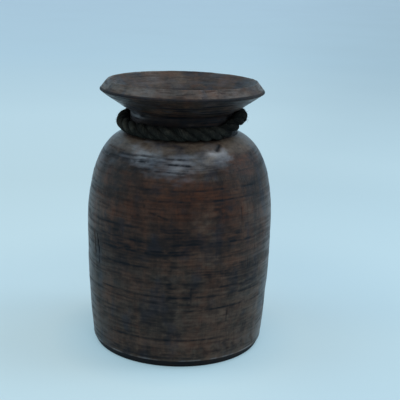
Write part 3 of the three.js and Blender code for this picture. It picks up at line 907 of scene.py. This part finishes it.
def frames_along(points):
    """Directions along and across a line that don't twist about it."""
    ahead = unit(np.gradient(points, axis=0))
    sides = [unit(np.cross(ahead[0], [0, 0, 1]))]
    for direction in ahead[1:]:
        sides.append(unit(sides[-1] - direction * np.dot(sides[-1], direction)))
    return ahead, np.array(sides), np.cross(ahead, sides)


def joined_tubes(tubes):
    """The points and faces of several tubes, each given as rings of points and closed at both ends."""
    faces, start = [], 0
    for tube in tubes:
        rings, sides = tube.shape[:2]
        grid = start + np.arange(rings * sides).reshape(rings, sides)
        faces += wrapped_faces(grid) + [grid[0, ::-1].tolist(), grid[-1].tolist()]
        start += rings * sides
    return np.concatenate([tube.reshape(-1, 3) for tube in tubes]), faces


def strand(route, frames, offset, twist, pitch, helix, radius, yarns, yarn_depth, sides, phase):
    """One strand of a laid line: a ridged tube that winds round the route."""
    _, side, up = frames
    along = length_along(route)[:, None]
    lay = offset + twist * TURN * along / pitch
    out = side * np.cos(lay) + up * np.sin(lay)
    centre = route + helix * out
    ahead = frames_along(centre)[0]
    out = unit(out - ahead * np.sum(out * ahead, axis=1)[:, None])
    spin = np.linspace(0, TURN, sides, endpoint=False)[None, :]
    yarn_turn = spin - twist * TURN * along / (pitch * YARN_PITCH_SHARE) + phase
    ridges = np.abs(np.cos(yarn_turn * yarns / 2))
    taper = np.sqrt(np.clip(np.minimum(along, along[-1] - along) / TAPER_LENGTH, 0.05, 1))
    swell = (radius + yarn_depth * (ridges * 2 - 1.6)) * taper
    points = (centre[:, None] + (np.cos(spin) * swell)[..., None] * out[:, None]
              + (np.sin(spin) * swell)[..., None] * np.cross(ahead, out)[:, None])
    # Lighter on each strand's outer crest and yarn ridges, darker where strands meet: wear on the crests,
    # and painted shade between strands
    proud = np.clip(0.5 + 0.5 * np.cos(spin) + 0.35 * (ridges - 0.7), 0, 1)
    direction = np.stack([along * MM + 0 * yarn_turn, np.cos(yarn_turn), np.sin(yarn_turn)], -1)
    return points, proud, direction


def laid_line(route, strands, **shape):
    """Points, faces and painted values of a line laid from this many strands."""
    frames = frames_along(route)
    laid = [strand(route, frames, TURN * number / strands, phase=number * 1.7, **shape)
            for number in range(strands)]
    tubes, proud, directions = zip(*laid)
    marks = {"proud": np.stack(proud).ravel(), "yarn_lay": np.stack(directions).reshape(-1, 3)}
    return *joined_tubes(tubes), marks


def loose_fibres(route, random):
    """Short stray fibres that stand off the rope's outer side, and tufts at its two ends."""
    ahead, side, up = frames_along(route)
    along = length_along(route)
    fibres = []
    for _ in range(FIBRE_TRIES):
        index = np.searchsorted(along, random.uniform(4, along[-1] - 4))
        spin = random.uniform(0, TURN)
        out = side[index] * math.cos(spin) + up[index] * math.sin(spin)
        centre = route[index]
        if np.dot(out, unit(centre * [1, 1, 0])) < -0.05 or out[2] < -0.45:
            continue
        lie = ahead[index] * random.choice([-1, 1]) * random.uniform(0.5, 1.2)
        length = random.uniform(1.6, 5) if random.uniform() < 0.96 else random.uniform(5, 9)
        fibres.append((centre + out * (ROPE_RADIUS - 0.8), lie + out * random.uniform(0.1, 0.6), length))
    for end, direction in ((0, -ahead[0]), (-1, ahead[-1])):
        for _ in range(TUFT_FIBRES):
            spread = side[end] * random.normal(0, 0.55) + up[end] * random.normal(0, 0.55)
            root = route[end] + (side[end] * random.uniform(-1, 1) + up[end] * random.uniform(-1, 1)) * 3.6
            fibres.append((root - direction * 1.5, direction + spread * 0.5, random.uniform(3, 6.5)))
    t = np.linspace(0, 1, FIBRE_RINGS)[:, None]
    spin = np.linspace(0, TURN, FIBRE_SIDES, endpoint=False)[None, :, None]
    tubes = []
    for root, direction, length in fibres:
        direction = unit(direction)
        sway = unit(np.cross(direction, random.normal(0, 1, 3)))
        line = root + direction * length * t + sway * length * random.uniform(0.05, 0.4) * t ** 2
        _, across, above = frames_along(line)
        thick = random.uniform(0.07, 0.13) * (1 - 0.75 * t)
        ring = np.cos(spin) * across[:, None] + np.sin(spin) * above[:, None]
        tubes.append(line[:, None] + thick[:, None] * ring)
    return joined_tubes(tubes)


def neck_rope():
    route = spaced(rope_route(), ROPE_STEP)
    material = rope_fibre()
    points, faces, marks = laid_line(
        route, 3, twist=1, pitch=38, helix=3.15, radius=3.6, yarns=9, yarn_depth=0.16, sides=42)
    # Painted shade darkens the rope's right end, and painted light lifts its left end
    marks["proud"] -= 0.85 * ease(points[:, 0], 34, 52) - 0.5 * ease(-points[:, 0], 38, 58)
    rope = make_piece("laid_rope", points, faces, material, "rope_collar", marks)
    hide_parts("neck_rope")
    points, faces = loose_fibres(route, np.random.default_rng(FIBRE_SEED))
    # Painted shade darkens the stray fibres at the rope's right end
    marks = {"proud": 0.8 - 1.1 * ease(points[:, 0], 34, 52)}
    stray = make_piece("rope_fibres", points, faces, material, "rope_collar", marks)


def twine_route():
    """Turns round both rope ends: straight across, then half a circle, then back below."""
    half_side = TIE_SPACING / 2
    arc = math.pi * WINDING_RADIUS
    half_turn = TIE_SPACING + arc
    t = np.linspace(0, 1, TWINE_SAMPLES)
    distance = t * TWINE_TURNS * 2 * half_turn
    done = np.minimum(np.floor(distance / half_turn), TWINE_TURNS * 2 - 1)
    along = distance - done * half_turn
    bend = np.clip((along - half_side) / WINDING_RADIUS, 0, math.pi)
    sign = np.where(done % 2 == 0, 1, -1)
    lift = sign * WINDING_RADIUS * np.cos(bend)
    across = sign * (np.minimum(along, half_side) + WINDING_RADIUS * np.sin(bend)
                     - np.maximum(along - half_side - arc, 0))
    along_x = (t - 0.5) * TWINE_TURNS * TWINE_PITCH
    cosine, sine = math.cos(-TIE_SLOPE), math.sin(-TIE_SLOPE)
    centre = (INNER_CROSSING + OUTER_CROSSING) / 2
    return np.stack([along_x, across * cosine - lift * sine, across * sine + lift * cosine], 1) + centre


def rope_seizing():
    route = spaced(twine_route(), TWINE_STEP)
    points, faces, marks = laid_line(
        route, 2, twist=-1, pitch=4.2, helix=0.44, radius=0.52, yarns=4, yarn_depth=0.05, sides=10)
    twine = make_piece("seizing_twine", points, faces, binding_twine(), "rope_collar", marks)
    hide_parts("rope_seizing")


# Stage: a wide round floor in pale blue, under a room of the same paleness

FLOOR_REACH = 12000
FLOOR_EDGES = 128
PALE_BLUE = (0.55, 0.74, 0.83, 1)
HALF_PALE = (0.275, 0.37, 0.415, 1)
HORIZON = (0.385, 0.565, 0.69, 1)
ROOM_LIGHT = (0.365, 0.435, 0.515, 1)
SHADED = (0.16, 0.22, 0.25, 1)

# The floor's glow by the root of its distance from the vase, over this reach. Its dark first stop is a
# painted shadow round the vase's foot
GLOW_REACH = 8000
GLOW = [
    (0.1, (0.2, 0.3, 0.34, 1)), (0.13, (0.29, 0.36, 0.36, 1)), (0.3, (0.28, 0.35, 0.35, 1)),
    (0.42, (0.32, 0.42, 0.45, 1)), (0.6, (0.29, 0.41, 0.48, 1)), (1, (0.28, 0.39, 0.47, 1)),
]


def seen_directly(finish):
    """1 where the camera or a glossy surface looks, and 0 for the light that the room gives."""
    camera, glossy, clear = (finish.node("ShaderNodeLightPath", {}, {}, ray)
                             for ray in ("Is Camera Ray", "Is Glossy Ray", "Is Transmission Ray"))
    return finish.limit(camera + glossy + clear)


def floor_finish():
    """Lit plainly for the room. The camera and the vase's gloss see it with a glow of its own."""
    paper = Finish("pale_floor")
    matt = {"Roughness": 0.8, "Specular IOR Level": 0.1}
    plain = paper.node("ShaderNodeBsdfPrincipled", {}, {**matt, "Base Color": PALE_BLUE})
    place = paper.place()
    away = paper.node("ShaderNodeVectorMath", {"operation": "LENGTH"}, {0: place}, "Value")
    rightward, backward = (paper.node("ShaderNodeSeparateXYZ", {}, {0: place}, axis) for axis in "XY")
    soft = paper.noise(place, scale=1.6, detail=2)
    # Painted shadow: the glow darkens beside and behind the vase and towards the right, with soft random
    # patches
    near = 1 - paper.rise(away, 0.24, 0.42)
    shade = paper.rise(rightward / away, 0.02, 0.3) * paper.rise(away, 0.4, 1.3) * 0.36
    shade = shade + paper.rise(rightward, 0, 0.16) * (1 - paper.rise(away, 0.6, 1)) * 0.33
    shade = shade + near * paper.rise(backward, -0.03, 0.1) * 0.24 + (soft - 0.5) * 0.2
    ring = paper.maths("SQRT", away / (GLOW_REACH * MM), 0)
    glow = paper.blend(shade, paper.ramp(ring, GLOW), SHADED)
    seen = paper.node("ShaderNodeBsdfPrincipled", {}, {
        **matt, "Base Color": HALF_PALE, "Emission Color": glow, "Emission Strength": 1})
    either = paper.node("ShaderNodeMixShader", {}, {0: seen_directly(paper), 1: plain, 2: seen})
    paper.node("ShaderNodeOutputMaterial", {}, {"Surface": either})
    return paper.material


def floor():
    turn = np.linspace(0, TURN, FLOOR_EDGES, endpoint=False)
    points = FLOOR_REACH * MM * np.stack([np.cos(turn), np.sin(turn), 0 * turn], 1)
    mesh = bpy.data.meshes.new("floor")
    mesh.from_pydata(points.tolist(), [], [tuple(range(FLOOR_EDGES))])
    mesh.materials.append(floor_finish())
    ground = added("floor", mesh)


def room():
    """Pale light from all round, and the floor's far colour where the room is seen itself."""
    world = bpy.data.worlds.new("pale_room")
    air = Finish("pale_room", world)
    colour = air.blend(seen_directly(air), ROOM_LIGHT, HORIZON)
    glow = air.node("ShaderNodeBackground", {}, {"Color": colour, "Strength": 1})
    air.node("ShaderNodeOutputWorld", {}, {"Surface": glow})
    bpy.context.scene.world = world


# Lamps: direction from the vase's shoulder, distance and face in metres, watts and tint
SHOULDER_PLACE = (0, 0, 0.19)
SOFTBOXES = {
    "left_softbox": ((-0.53, -0.03, 0.85), 1.7, (0.75, 1.05), 8.2, (0.7, 0.88, 1)),
    "front_softbox": ((0.04, -0.6, 0.8), 1.7, (0.9, 0.9), 4.9, (0.84, 0.93, 1)),
    "right_softbox": ((0.45, 0.08, 0.89), 1.7, (0.9, 0.5), 9.5, (0.9, 0.95, 1)),
    "low_right_softbox": ((0.9, 0.08, 0.36), 1.6, (0.6, 0.8), 8, (0.7, 0.88, 1)),
}


def softbox(name, towards, distance, size, power, tint):
    """A lamp with a wide face that is turned to the vase's shoulder."""
    lamp = bpy.data.lights.new(name, "AREA")
    lamp.shape = "RECTANGLE"
    lamp.size, lamp.size_y = size
    lamp.energy, lamp.color = power, tint
    back = unit(np.array(towards))
    right = unit(np.cross([0, 0, 1], back))
    turned = Matrix(np.column_stack([right, np.cross(back, right), back]).tolist()).to_4x4()
    added(name, lamp).matrix_world = Matrix.Translation(SHOULDER_PLACE + back * distance) @ turned


vase_wood()
neck_rope()
rope_seizing()
floor()
room()
for name, settings in SOFTBOXES.items():
    softbox(name, *settings)

bpy.context.scene.view_settings.view_transform = "Standard"
